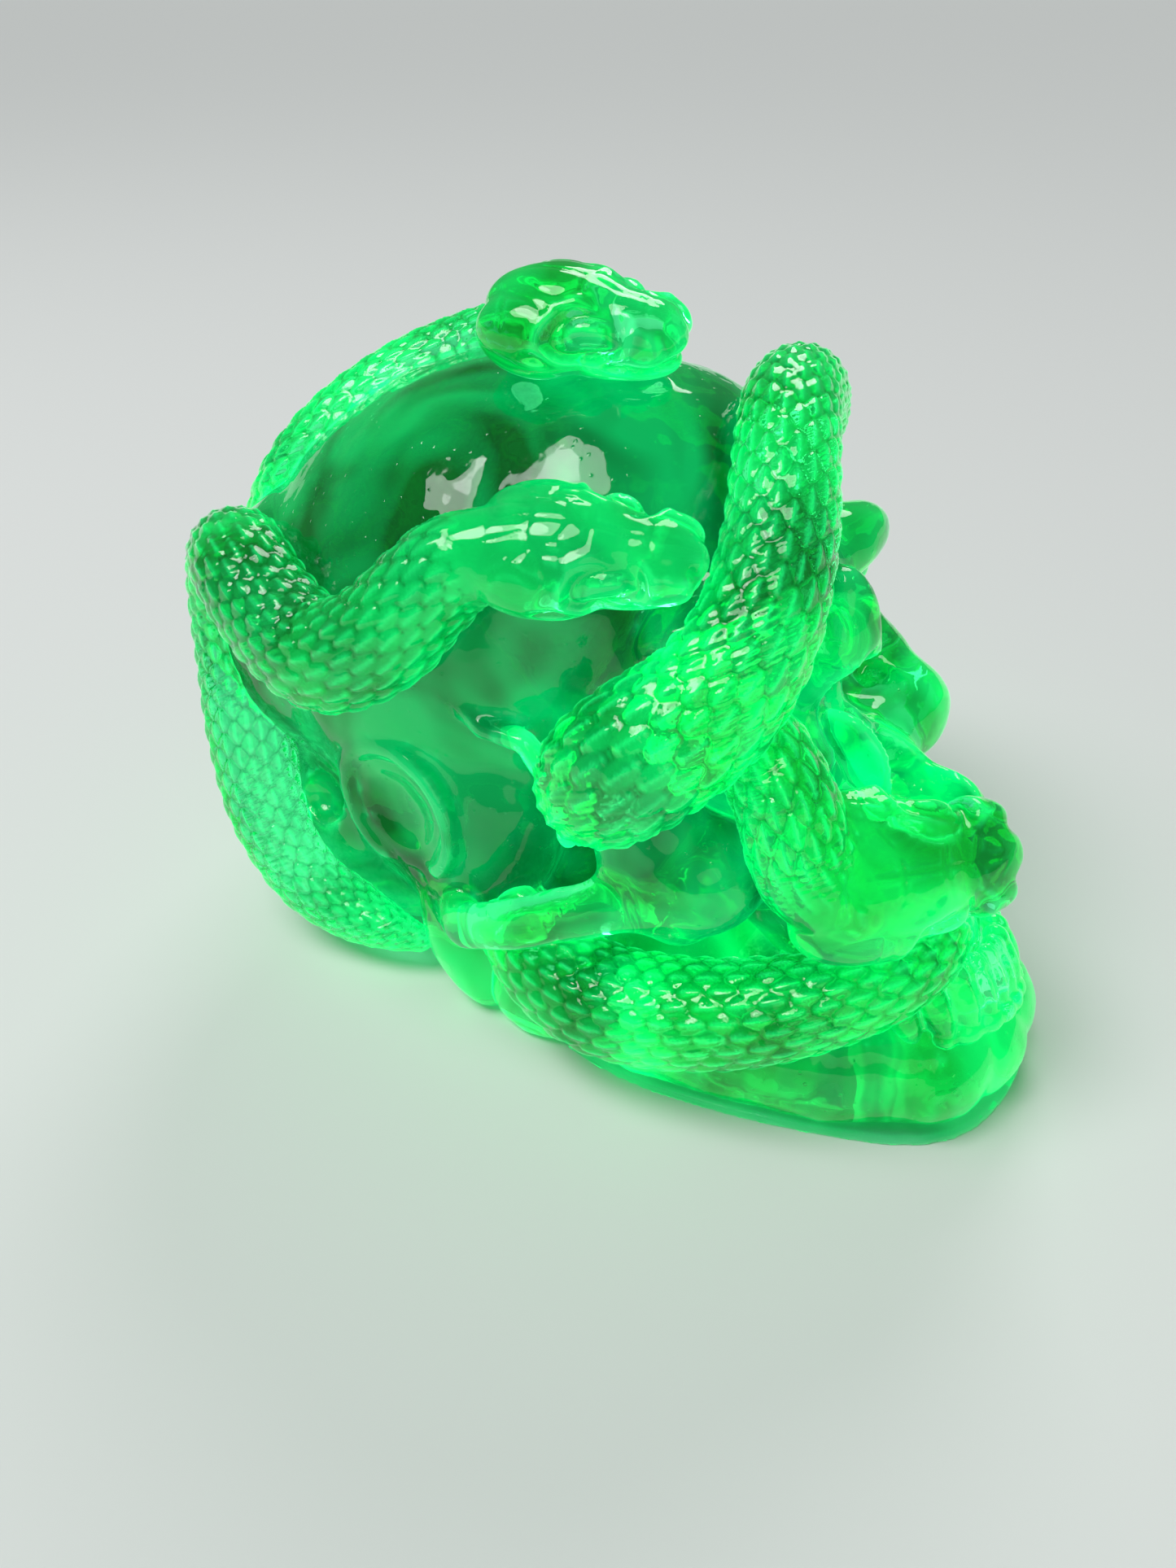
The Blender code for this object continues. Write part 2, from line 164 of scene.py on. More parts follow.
def sunkCopy(piece, depth):
    # a copy a little smaller than the piece, so that what it trims still reaches into the piece
    copy = bpy.data.objects.new(piece.name + "Sunk", piece.data.copy())
    bpy.context.scene.collection.objects.link(copy)
    sink = copy.modifiers.new("sink", "DISPLACE")
    sink.mid_level = 0.0
    sink.strength = -depth * mm
    settle(copy)
    return copy


def ripple(piece, amount, reach):
    # soft unevenness left by the mould
    cloud = bpy.data.textures.new(piece.name + "Cloud", "CLOUDS")
    cloud.noise_scale = reach * mm
    cloud.noise_depth = 1
    wave = piece.modifiers.new("ripple", "DISPLACE")
    wave.texture = cloud
    wave.texture_coords = "LOCAL"
    wave.strength = amount * mm
    wave.mid_level = 0.5
    settle(piece)


def pointsOf(piece):
    mesh = piece.data
    co = np.empty(len(mesh.vertices) * 3, np.float32)
    mesh.vertices.foreach_get("co", co)
    normals = np.empty(len(mesh.vertices) * 3, np.float32)
    mesh.vertices.foreach_get("normal", normals)
    return co.reshape(-1, 3).astype(np.float64), normals.reshape(-1, 3).astype(np.float64)


def putPoints(piece, co):
    piece.data.vertices.foreach_set("co", co.astype(np.float32).ravel())
    piece.data.update()


creaseLooks = {
    "rounds": 3,  # of evening out
    "bend": (0.12, 0.6),  # 1 over the radius in mm, where the shine begins and is full
}


def tagCreases(piece):
    # painted highlight: ridges and creases are marked for a brighter painted glow, where light
    # trapped in the glass would leave it
    mesh = piece.data
    co, normals = pointsOf(piece)
    ends = np.empty(len(mesh.edges) * 2, np.int32)
    mesh.edges.foreach_get("vertices", ends)
    a, b = ends.reshape(-1, 2).T
    ends = np.concatenate([a, b])
    others = np.concatenate([b, a])
    count = np.bincount(ends, minlength=len(co))
    gap = co[others] - co[ends]
    reach = np.bincount(ends, (gap ** 2).sum(1), len(co)) / count
    dip = np.bincount(ends, (gap * normals[ends]).sum(1), len(co)) / count
    bend = -2 * dip / reach * mm  # 1 over the radius in mm, ridges above zero
    for _ in range(creaseLooks["rounds"]):
        bend = 0.5 * bend + 0.5 * np.bincount(ends, bend[others], len(co)) / count
    tag(piece, "ridge", smoothStep(bend, *creaseLooks["bend"]))
    tag(piece, "crease", smoothStep(-bend, *creaseLooks["bend"]))


stepsBetween = 10  # points of a snake's line from one placed point to the next


def throughPoints(route, steps):
    # a smooth line through given points of x, y, z and girth
    path = []
    for i in range(len(route) - 1):
        last = min(i + 2, len(route) - 1)
        p0, p1, p2, p3 = (np.array(route[k], float) for k in (max(i - 1, 0), i, i + 1, last))
        for s in range(steps):
            t = s / steps
            path.append(
                0.5 * (2 * p1 + (p2 - p0) * t + (2 * p0 - 5 * p1 + 4 * p2 - p3) * t * t
                       + (3 * p1 - p0 - 3 * p2 + p3) * t ** 3)
            )
    path.append(np.array(route[-1], float))
    return np.array(path)


def addBody(bm, name, route):
    path = throughPoints(route, stepsBetween)
    curve = bpy.data.curves.new(name, "CURVE")
    curve.dimensions = "3D"
    curve.bevel_depth = mm
    curve.bevel_resolution = 8
    curve.use_fill_caps = True
    spline = curve.splines.new("POLY")
    spline.points.add(len(path) - 1)
    for point, (x, y, z, girth) in zip(spline.points, path):
        point.co = (x * mm + skullMiddle.x, y * mm + skullMiddle.y, z * mm, 1)
        point.radius = girth
    wire = bpy.data.objects.new(name + "Wire", curve)
    bpy.context.scene.collection.objects.link(wire)
    bpy.context.view_layer.update()
    graph = bpy.context.evaluated_depsgraph_get()
    bm.from_mesh(bpy.data.meshes.new_from_object(wire.evaluated_get(graph)))
    bmesh.ops.remove_doubles(bm, verts=bm.verts, dist=0.01 * mm)
    bpy.data.objects.remove(wire, do_unlink=True)
    for x, y, z, girth in (route[0], route[-1]):  # round ends
        addLump(bm, (x, y, z), (girth, girth, girth), handPlace())


def alongAndAround(co, route):
    # how far along the body each point lies, and its angle around it
    path = throughPoints(route, stepsBetween)
    centre = path[:, :3] * mm + np.array(skullMiddle)
    ahead = np.gradient(centre, axis=0)
    ahead /= np.linalg.norm(ahead, axis=1)[:, None]
    run = np.concatenate([[0], np.cumsum(np.linalg.norm(np.diff(centre, axis=0), axis=1))])
    side = [np.cross(ahead[0], (0.0, 0.0, 1.0))]
    side[0] /= np.linalg.norm(side[0])
    for i in range(1, len(centre)):
        turned = side[-1] - ahead[i] * side[-1].dot(ahead[i])
        side.append(turned / np.linalg.norm(turned))
    side = np.array(side)
    over = np.cross(ahead, side)
    along, around, girth = np.empty(len(co)), np.empty(len(co)), np.empty(len(co))
    batch = 8000  # points at a time, to spare memory
    for start in range(0, len(co), batch):
        these = slice(start, start + batch)
        gap = co[these][:, None, :] - centre[None, :, :]
        near = (gap ** 2).sum(2).argmin(1)
        off = gap[np.arange(len(near)), near]
        along[these] = run[near] + (off * ahead[near]).sum(1)
        around[these] = np.arctan2((off * over[near]).sum(1), (off * side[near]).sum(1))
        girth[these] = path[near, 3] * mm
    return along, around, girth


def smoothStep(x, low, high):
    t = np.clip((x - low) / (high - low), 0, 1)
    return t * t * (3 - 2 * t)


scales = {
    "columns": 22,  # scales around the body
    "length": 3.25,
    "depth": 0.42,
    "keel": 0.34,
    "keelWidth": 0.13,
    "tile": (0.55, 0.78),  # half a scale's length and width, as shares of its place
    "tilt": 0.3,  # a scale sinks towards its tip
    "level": 0.62,  # the height that stays on the body's own skin
    "girth": 5.5,  # a body of this radius in mm has scales of the full depth
    "fade": (-3.0, 2.5),  # mm about the neck, where the scales begin
}


def pressScales(piece, route, neck):
    # staggered rows of keeled scales, from neck (in mm along the body) on
    co, normals = pointsOf(piece)
    along, around, girth = alongAndAround(co, route)
    a = along / (scales["length"] * mm)
    b = around / (2 * math.pi) * scales["columns"]
    relief = np.zeros(len(co))
    for column in (-1, 0, 1):
        j = np.round(b) + column
        shift = np.where(np.mod(j, 2) == 1, 0.5, 0.0)
        for row in (-1, 0, 1):
            i = np.round(a - shift) + row
            dx = a - shift - i
            dy = b - j
            tileLong, tileWide = scales["tile"]
            scale = np.sqrt(np.clip(1 - (dx / tileLong) ** 2 - (np.abs(dy) / tileWide) ** 2.2, 0, 1))
            scale *= 1 - scales["tilt"] * dx
            keel = scales["keel"] * np.exp(-(dy / scales["keelWidth"]) ** 2)
            scale += keel * np.clip(1 - (dx / 0.5) ** 2, 0, 1)
            relief = np.maximum(relief, scale)
    fade = smoothStep(along, *((neck + f) * mm for f in scales["fade"]))
    size = np.clip(girth / (scales["girth"] * mm), 0.3, 1.25)
    co += normals * ((relief - scales["level"]) * scales["depth"] * mm * fade * size)[:, None]
    putPoints(piece, co)
    # painted shade: the glass gets a darker tint and a dimmer glow between the scales, and heads have
    # no scales
    tag(piece, "hollow", (1 - smoothStep(relief, 0.2, 0.8)) * fade)
    tag(piece, "scaly", fade)


def tag(piece, name, values):
    layer = piece.data.attributes.new(name, "FLOAT", "POINT")
    layer.data.foreach_set("value", values.astype(np.float32))


def headFrame(head):
    back = Vector(head["back"]) * mm + skullMiddle
    snout = Vector(head["snout"]) * mm + skullMiddle
    ahead = (snout - back).normalized()
    top = Vector(head["top"])
    top = (top - ahead * top.dot(ahead)).normalized()
    across = ahead.cross(top)
    turn = Matrix((across, ahead, top)).transposed().to_4x4()
    return Matrix.Translation(back) @ turn, (snout - back).length


headLumps = (
    # centre and radii, in shares of the head's breadth, length and breadth, and whether on both sides
    ((0.15, 0.29, -0.02), (0.16, 0.3, 0.17), True),
    ((0.13, 0.52, 0.07), (0.09, 0.2, 0.08), True),  # brow
    ((0.13, 0.8, -0.005), (0.08, 0.15, 0.09), True),  # lip
    ((0, 0.36, 0.02), (0.24, 0.4, 0.18), False),
    ((0, 0.66, 0), (0.19, 0.33, 0.14), False),
    ((0, 0.55, -0.1), (0.2, 0.42, 0.09), False),
)


def addHead(bm, head):
    place, length = headFrame(head)
    broad = length * head["breadth"]
    for (x, y, z), (wide, deep, tall), mirrored in headLumps:
        centre = (x * broad, y * length, z * broad)
        addLump(bm, centre, (wide * broad, deep * length, tall * broad), place, 0, mirrored)


headLooks = {
    "lip": 0.5,  # depth of the mouth line in mm, as the other heights here
    "lipRoll": 0.22,
    "lipWidths": (0.02, 0.028, 0.05),  # of the line, of the rolls beside it, and between the two
    "eyeAt": (0.6, 0.045),  # ahead and up
    "eyeRadius": 0.085,  # share of the head's length times its breadth
    "plates": 15,
    "plateGroove": 0.1,
    "plateReach": (0.78, 0.92),  # the plates stop short of the snout
    "ridge": 0.3,
    "nostril": 0.28,
    "nostrilAt": (0.08, 0.93, 0.03),
}


def bell(x, width):
    return np.exp(-((x / width) ** 2))


def mouthOf(y, z):
    # the mouth line drops towards the snout, between two rolled lips
    lineWidth, rollWidth, apart = headLooks["lipWidths"]
    off = z + 0.06 - 0.03 * np.sin(y * 5.2 - 0.6)
    line = -headLooks["lip"] * bell(off, lineWidth) * smoothStep(y, 0.26, 0.4)
    rolls = bell(off - apart, rollWidth) + bell(off + apart, rollWidth)
    return line + headLooks["lipRoll"] * rolls * smoothStep(y, 0.3, 0.45)


def platesOf(x, y, seed):
    # grooves between scattered plates, the same on both sides
    rng = np.random.default_rng(seed)
    count = headLooks["plates"]
    spots = np.stack([rng.uniform(-0.26, 0.26, count), rng.uniform(0.0, 1.02, count)], 1)
    spots = np.concatenate([spots, spots * (-1, 1)])
    gaps = np.sqrt(((np.stack([x, y * 0.8], 1)[:, None, :] - spots[None] * (1, 0.8)) ** 2).sum(2))
    gaps.sort(axis=1)
    border = gaps[:, 1] - gaps[:, 0]
    return -headLooks["plateGroove"] * (1 - smoothStep(border, 0.0, 0.03))


def carveHead(piece, head, seed):
    # mouth line, eyes, nostrils and plates, pressed into the skin of the head
    place, length = headFrame(head)
    co, normals = pointsOf(piece)
    inverse = np.array(place.inverted())
    local = (co @ inverse[:3, :3].T + inverse[:3, 3]) / length
    g = head["breadth"]
    x, y, z = local[:, 0] / g, local[:, 1], local[:, 2] / g  # across, ahead and up
    onHead = smoothStep(y, 0.02, 0.14) * (1 - smoothStep(y, 1.05, 1.12))
    onHead *= (np.abs(x) < 0.45) & (np.abs(z) < 0.42)
    upper = smoothStep(z, 0.03, 0.09) * (1 - smoothStep(y, *headLooks["plateReach"]))
    push = mouthOf(y, z) + platesOf(x, y, seed) * upper
    # a ridge runs from the snout over each eye
    overEye = bell(np.abs(np.abs(x) - 0.13 - 0.05 * np.sin(y * 3.0)), 0.022)
    overEye *= smoothStep(y, 0.3, 0.45) * (1 - smoothStep(y, 0.85, 0.97))
    push += headLooks["ridge"] * overEye * upper
    eyeY, eyeZ = headLooks["eyeAt"]
    holeX, holeY, holeZ = headLooks["nostrilAt"]
    for side in (1, -1):
        beside = smoothStep(x * side, 0.07, 0.14)
        far = np.sqrt(((y - eyeY) / g) ** 2 * 0.42 + (z - eyeZ) ** 2) / headLooks["eyeRadius"]
        ball = np.sqrt(np.clip(1 - (far / 0.62) ** 2, 0, 1))
        eye = 0.7 * ball - 0.55 * bell(far - 0.95, 0.2) + 0.3 * bell(far - 1.4, 0.22)
        push = push * (1 - beside * (1 - smoothStep(far, 1.3, 1.7))) + eye * beside
        hole = np.sqrt((x - holeX * side) ** 2 + ((y - holeY) / g) ** 2 + (z - holeZ) ** 2)
        push -= headLooks["nostril"] * bell(hole, 0.03)
    co += normals * (push * onHead * mm)[:, None]
    putPoints(piece, co)


bone = {
    "lumps": (
        ((0, 3, 48.5), (66, 80, 61), 0, False),  # braincase
        ((0, -38, 50), (52, 47, 46), 0, False),  # forehead
        ((34, 28, 58), (32, 38, 38), 0, True),
        ((0, 48, 22), (48, 38, 40), 0, False),  # back of the head
        ((0, 12, -10), (46, 50, 28), 0, False),
        ((45, 0, 12), (19, 34, 32), 0, True),  # temple bone
        ((55, 5, -24), (9.5, 12, 21), 0, True),  # behind the ear
        ((23, -80, 37), (20, 11, 9), 0, True),  # brow
        ((0, -84, 36), (13, 8, 9), 0, False),
        ((36, -68, 30), (7, 12, 9), 0, True),
        ((43.5, -63, 12), (7, 10, 19), 0, True),  # outer rim of the eye socket
        ((40, -69, -11), (17, 15, 14), 0, True),  # cheekbone
        ((45, -62, 0), (12, 13, 17), 0, True),
        ((44.5, -61, -19), (9, 11, 9), 0, True),  # its lower point
        ((0, -72, -25), (31, 26, 27), 0, False),  # upper jaw
        ((0, -76, -42), (29, 23, 11), 0, False),
        ((5, -91, -29), (17, 17, 18), 0, True),  # above the upper teeth
        ((36, 32, -9), (22, 26, 18), 0, True),  # nape
        ((35, 37, 11), (28, 30, 32), 0, True),
        ((0, -91, 20), (8, 8, 19), 20, False),  # bridge of the nose
        ((0, -50, 6), (40, 34, 36), 0, False),
    ),
    "arch": ((50, -66, -12), (60, -48, -11), (66, -28, -12), (66, -12, -13), (58, 0, -12)),
    "archRadii": (4.6, 6.5, 7.0),
    "pits": (
        ((25.5, -92, 10), (19.5, 30, 17.5), True),  # eye sockets
        ((0, -102, 1), (9.5, 25, 17.5), False),  # nose
        ((7, -101, -11), (8.5, 23, 11.5), True),
        ((66, -44, 24), (13, 24, 26), True),  # hollow of the temple
        ((67, 3, -2), (6, 5, 5), True),  # ear
        ((66.5, -2, 17), (7.5, 13, 13), True),
        ((60, 34, 20), (6, 9, 7), True),
    ),
    "earRing": {
        "centre": (61.5, -2, 17),
        "radius": 17,
        "bead": (3.8, 2.8, 2.8),  # radii of each lump along the ring
        "beads": 60,
        "from": -40,  # degrees
        "step": 5,
    },
    "templeFold": ((54, -28, 46), (55.5, -36, 32), (54, -46, 27), (53.5, -52, 12), (52, -44, 2)),
    "foldRadii": (3.2, 2.4, 2.8),
    "septum": ((0, -80, -8), (1.8, 13, 15)),
    "meltVoxel": 0.9,
    "meltRounds": 24,  # many, so that the lumps' joins run out
    "voxel": 0.62,
    "ripples": ((1.1, 16), (0.35, 5)),  # height and reach in mm
    "triangles": 150000,
}


def addEarRing(bm, place):
    # a rolled edge most of the way round the ear hollow
    ring = bone["earRing"]
    x, y, z = ring["centre"]
    for k in range(ring["beads"]):
        turn = math.radians(k * ring["step"] + ring["from"])
        spot = (x, y + ring["radius"] * math.cos(turn), z + ring["radius"] * math.sin(turn))
        addLump(bm, spot, ring["bead"], place, 0, True, 14, 8)


def makeCranium():
    place = skullPlace()
    bm = bmesh.new()
    for centre, radii, turn, mirrored in bone["lumps"]:
        addLump(bm, centre, radii, place, turn, mirrored, 40, 26)
    addChain(bm, bone["arch"], bone["archRadii"], place)
    cranium = newPiece("visual_cranium", bm)
    melt(cranium, bone["meltVoxel"], bone["meltRounds"])
    bm = bmesh.new()
    for centre, radii, mirrored in bone["pits"]:
        addLump(bm, centre, radii, place, 0, mirrored, 40, 26)
    pits = newPiece("pits", bm)
    melt(pits, bone["meltVoxel"], 0)
    cutAway(cranium, pits)
    bm = bmesh.new()
    addLump(bm, *bone["septum"], place)
    addChain(bm, bone["templeFold"], bone["foldRadii"], place)
    addEarRing(bm, place)
    bm.from_mesh(cranium.data)  # comes last, because adding lumps to a heavy mesh is slow
    bm.to_mesh(cranium.data)
    bm.free()
    melt(cranium, bone["voxel"], 4)
    for height, reach in bone["ripples"]:
        ripple(cranium, height, reach)
    cutAway(cranium, groundBlock(0.02))
    keepBiggest(cranium)
    thinTo(cranium, bone["triangles"])
    return cranium


def groundBlock(height):
    # everything under this height in mm, to cut a flat underside
    bm = bmesh.new()
    low = Matrix.Translation((0, 0, height * mm - 0.05)) @ Matrix.Diagonal((0.5, 0.5, 0.1, 1))
    bmesh.ops.create_cube(bm, size=1, matrix=low)
    return newPiece("ground", bm)


jaw = {
    "lumps": (
        ((5.0, -58.0, 6.2), (8.5, 5.6, 6.6), True),
        ((0.0, -59.6, 6.0), (7.0, 5.4, 6.0), False),
        ((0.0, -50.0, 5.0), (15.0, 12.0, 5.6), False),
        ((0.0, -36.0, 5.0), (21.0, 17.0, 5.8), False),
        ((0.0, -24.0, 5.5), (22.0, 12.0, 6.4), False),
        ((24.6, -17.0, 8.0), (4.0, 6.6, 8.0), True),
        ((26.2, -12.0, 13.0), (3.2, 5.2, 8.0), True),
        ((27.0, -13.5, 5.2), (3.6, 7.5, 6.2), True),
    ),
    "body": (
        (9.0, -57.0, 6.6), (16.0, -48.0, 6.8), (20.5, -38.0, 6.4), (23.5, -28.0, 6.4),
        (25.0, -19.0, 7.0),
    ),
    "bodyRadii": (4.4, 5.0, 6.6),
    "gum": (
        (0.0, -58.5, 10.4), (8.0, -56.0, 10.0), (13.8, -48.5, 8.6), (17.2, -39.0, 7.0),
        (19.5, -30.0, 6.0),
    ),
    "gumRadii": (3.4, 3.0, 4.6),
    "voxel": 0.5,
    "ripples": ((0.7, 9), (0.25, 3.5)),
    "sink": 0.2,  # mm into the flange
}


def makeMandible(sunkBone):
    place = handPlace()
    bm = bmesh.new()
    for centre, radii, mirrored in jaw["lumps"]:
        addLump(bm, centre, radii, place, 0, mirrored)
    addChain(bm, jaw["body"], jaw["bodyRadii"], place)
    addChain(bm, jaw["gum"], jaw["gumRadii"], place)
    mandible = newPiece("visual_mandible", bm)
    melt(mandible, jaw["voxel"], 5)
    for height, reach in jaw["ripples"]:
        ripple(mandible, height, reach)
    cutAway(mandible, sunkBone, True)
    cutAway(mandible, groundBlock(footHigh[2] / mm - jaw["sink"]))
    keepBiggest(mandible)
    return mandible


teeth = {
    "upper": {
        "widths": (8.6, 6.8, 7.6, 7.0, 6.8, 10.2, 9.6),  # from the middle to the back
        "arch": (25.5, 50, -46),  # half width, depth and where its middle lies
        "root": -46,
        "tip": -57,
        "drop": 3.0,
    },
    "lower": {
        "widths": (5.4, 6.0, 7.0, 7.0, 7.2, 11.0, 10.4),
        "arch": (27, 49, -53.5),
        "root": -69,
        "tip": -54,
        "drop": 1.0,
    },
    "sweep": 82,  # degrees of the arch on each side
    "voxel": 0.3,
}


def addTooth(bm, row, width, mid, side, place):
    # a root, a fuller crown and a little gum; mid is how far back the tooth stands, from 0 to 1
    halfWidth, depth, middle = row["arch"]
    turn = mid * math.radians(teeth["sweep"])
    x, y = halfWidth * math.sin(turn), middle - depth * math.cos(turn)
    lift = row["drop"] * mid
    centre = (row["root"] + row["tip"]) / 2
    stand = Matrix.Translation((x * side, y, centre + lift))
    face = place @ stand @ Matrix.Rotation(side * turn * 0.95, 4, "Z")
    deep, tall = 3.0 + 3.8 * mid, abs(row["root"] - row["tip"]) / 2 + 1.2
    crown = (0, 0, (row["tip"] - centre) * 0.75)
    addLump(bm, (0, 0, 0), (width * 0.5, deep, tall), face, 0, False, 20, 14)
    addLump(bm, crown, (width * 0.49, deep * 0.85, tall * 0.42), face, 0, False, 20, 14)
    gum = place @ Matrix.Translation((x * side * 0.97, y + 1.0, row["root"] + lift))
    addLump(bm, (0, 0, 0), (width * 0.75, 4.4, 3.6), gum, 0, False, 14, 10)


def makeTeeth(jawSide, cutters):
    row = teeth[jawSide]
    place = skullPlace()
    bm = bmesh.new()
    run, total = 0.0, sum(row["widths"])
    for width in row["widths"]:
        mid = (run + width / 2) / total
        run += width
        for side in (1, -1):
            addTooth(bm, row, width, mid, side, place)
    piece = newPiece("visual_%s_teeth" % jawSide, bm)
    melt(piece, teeth["voxel"], 1)
    for cutter in cutters:
        cutAway(piece, cutter, True)
    keepBiggest(piece)
    return piece


flange = {
    "half": (  # one side of its outline, from the chin back
        (0.0, -64.6), (3.4, -64.4), (6.5, -63.8), (9.7, -62.4), (12.5, -60.2), (15.2, -56.9),
        (17.5, -53.0), (19.6, -49.0), (21.5, -45.0), (23.4, -40.6), (25.0, -36.0), (26.5, -31.5),
        (27.4, -27.0), (27.7, -22.5), (27.4, -18.0), (25.6, -15.0), (22.0, -13.5), (10.0, -12.5),
    ),
    "voxel": 0.32,
    "softRounds": 3,
}


def makeFlange():
    outline = list(flange["half"]) + [(-x, y) for x, y in reversed(flange["half"][1:])]
    bm = bmesh.new()
    rim = [bm.verts.new((x * mm + skullMiddle.x, y * mm + skullMiddle.y, 0)) for x, y in outline]
    face = bm.faces.new(rim)
    bm.normal_update()
    if face.normal.z > 0:
        face.normal_flip()
    grown = bmesh.ops.extrude_face_region(bm, geom=[face])
    for v in (g for g in grown["geom"] if isinstance(g, bmesh.types.BMVert)):
        v.co.z = footHigh[2]
    bmesh.ops.recalc_face_normals(bm, faces=bm.faces)
    plate = newPiece("visual_flange", bm)
    melt(plate, flange["voxel"], flange["softRounds"])
    return plate


snakes = {
    "jaw": {
        "route": (
            (-25.0, -9.0, 14.0, 5.0), (-26.5, -16.0, 11.5, 6.0), (-26.5, -24.0, 11.0, 6.5),
            (-24.5, -32.0, 12.5, 6.4), (-21.5, -39.5, 15.0, 6.0), (-17.0, -46.0, 17.5, 5.4),
            (-11.5, -51.0, 19.5, 4.6), (-5.5, -53.5, 20.5, 3.6), (-1.0, -54.0, 20.5, 2.6),
        ),
    },
    "socket": {
        "route": (
            (-12.5, -27.0, 46.0, 4.0), (-14.0, -33.5, 45.0, 4.8), (-16.5, -39.5, 41.5, 5.2),
            (-18.0, -43.5, 36.0, 5.3), (-16.0, -47.0, 32.5, 5.2),
        ),
        "head": {
            "back": (-19.5, -42.5, 33.5), "snout": (2.5, -58.0, 33.3),
            "top": (-0.45, -0.65, 0.6), "breadth": 1.1,
        },
        "headAtEnd": True,
    },
    "brow": {
        "route": (
            (-22.2, -19.5, 37.3, 6.0), (-25.0, -23.2, 41.5, 7.3), (-24.3, -27.4, 46.2, 7.6),
            (-19.6, -31.5, 51.2, 7.0), (-14.0, -32.7, 57.3, 6.2), (-7.3, -30.4, 63.5, 5.7),
            (-1.0, -26.6, 68.6, 5.4), (7.1, -21.8, 71.3, 5.3), (15.4, -18.2, 69.8, 5.3),
            (23.2, -14.2, 64.2, 5.3), (28.0, -9.0, 57.0, 5.3), (31.0, -2.0, 50.0, 5.2),
            (32.5, 7.0, 44.0, 4.8), (33.0, 16.0, 40.0, 4.1), (32.0, 24.0, 38.5, 3.2),
            (30.8, 30.0, 38.2, 2.2), (29.4, 34.5, 38.4, 1.1),
        ),
    },
    "temple": {
        "route": (
            (-24.5, -11.0, 62.8, 4.6), (-27.3, -6.0, 61.0, 5.0), (-29.8, -3.0, 57.5, 5.4),
            (-32.5, 1.0, 52.5, 5.9), (-34.5, 8.0, 48.5, 6.1), (-33.6, 17.0, 49.5, 6.1),
            (-31.5, 25.0, 52.0, 6.0), (-28.0, 32.0, 50.5, 5.9), (-27.0, 35.5, 44.0, 5.9),
            (-28.2, 35.0, 35.5, 5.8), (-30.8, 32.3, 26.5, 5.6), (-33.0, 28.0, 17.2, 5.3),
            (-33.4, 21.4, 10.0, 4.9), (-32.2, 14.5, 6.6, 4.2), (-31.0, 8.3, 5.8, 3.0),
            (-29.4, 4.0, 5.2, 1.8),
        ),
        "head": {
            "back": (-25.9, -7.5, 63.4), "snout": (-15.9, -28.5, 63.9),
            "top": (-0.45, -0.22, 0.85), "breadth": 1.02,
        },
    },
    "crown": {
        "route": (
            (-3.0, 4.0, 76.0, 4.6), (1.5, 8.5, 74.2, 4.9), (5.0, 14.5, 72.0, 5.1),
            (4.5, 21.0, 69.6, 5.3), (-0.5, 26.8, 66.6, 5.4), (-6.5, 31.2, 62.6, 5.5),
            (-11.5, 34.6, 57.8, 5.6), (-14.5, 37.6, 52.0, 5.6), (-13.5, 41.8, 45.2, 5.6),
            (-7.0, 46.2, 39.6, 5.5), (3.0, 48.5, 35.5, 5.4), (13.0, 46.5, 32.0, 5.2),
            (21.5, 40.0, 30.0, 4.9), (28.0, 31.0, 28.0, 4.5), (32.0, 20.0, 27.0, 3.8),
            (33.0, 10.5, 27.0, 2.9), (32.6, 4.5, 27.6, 2.0), (31.4, 0.5, 28.6, 1.0),
        ),
        "head": {
            "back": (-5.2, 8.5, 79.0), "snout": (-0.2, -13.5, 78.3),
            "top": (-0.2, -0.1, 1.0), "breadth": 1.15,
        },
    },
}

snakeSkin = {
    "voxel": 0.33,
    "softRounds": 30,
    "neck": 5.0,  # mm from the start of the body to the first scales
    "noNeck": -20.0,  # well before the start, so that a tail has scales to its tip
}


def makeSnake(name, seed, cutters):
    snake = snakes[name]
    bm = bmesh.new()
    addBody(bm, name, snake["route"])
    if "head" in snake:
        addHead(bm, snake["head"])
    piece = newPiece("visual_%s_snake" % name, bm)
    melt(piece, snakeSkin["voxel"], snakeSkin["softRounds"])
    route = snake["route"]
    if snake.get("headAtEnd"):
        route = tuple(reversed(route))
    pressScales(piece, route, snakeSkin["neck" if "head" in snake else "noNeck"])
    if "head" in snake:
        carveHead(piece, snake["head"], seed)
    for cutter in cutters:
        cutAway(piece, cutter, True)
    keepBiggest(piece)
    print("made", piece.name, len(piece.data.polygons))
    return piece


def node(tree, kind, **settings):
    made = tree.nodes.new(kind)
    for key, value in settings.items():
        setattr(made, key, value)
    return made


def times(tree, value, factor):
    product = node(tree, "ShaderNodeMath", operation="MULTIPLY")
    tree.links.new(value, product.inputs[0])
    if isinstance(factor, float):
        product.inputs[1].default_value = factor
    else:
        tree.links.new(factor, product.inputs[1])
    return product.outputs[0]


def mixIn(tree, colour, other, factor, amount=1.0):
    if amount < 1:
        factor = times(tree, factor, amount)
    mix = node(tree, "ShaderNodeMix", data_type="RGBA")
    tree.links.new(factor, mix.inputs["Factor"])
    tree.links.new(colour, mix.inputs["A"])
    mix.inputs["B"].default_value = (*other, 1)
    return mix.outputs["Result"]


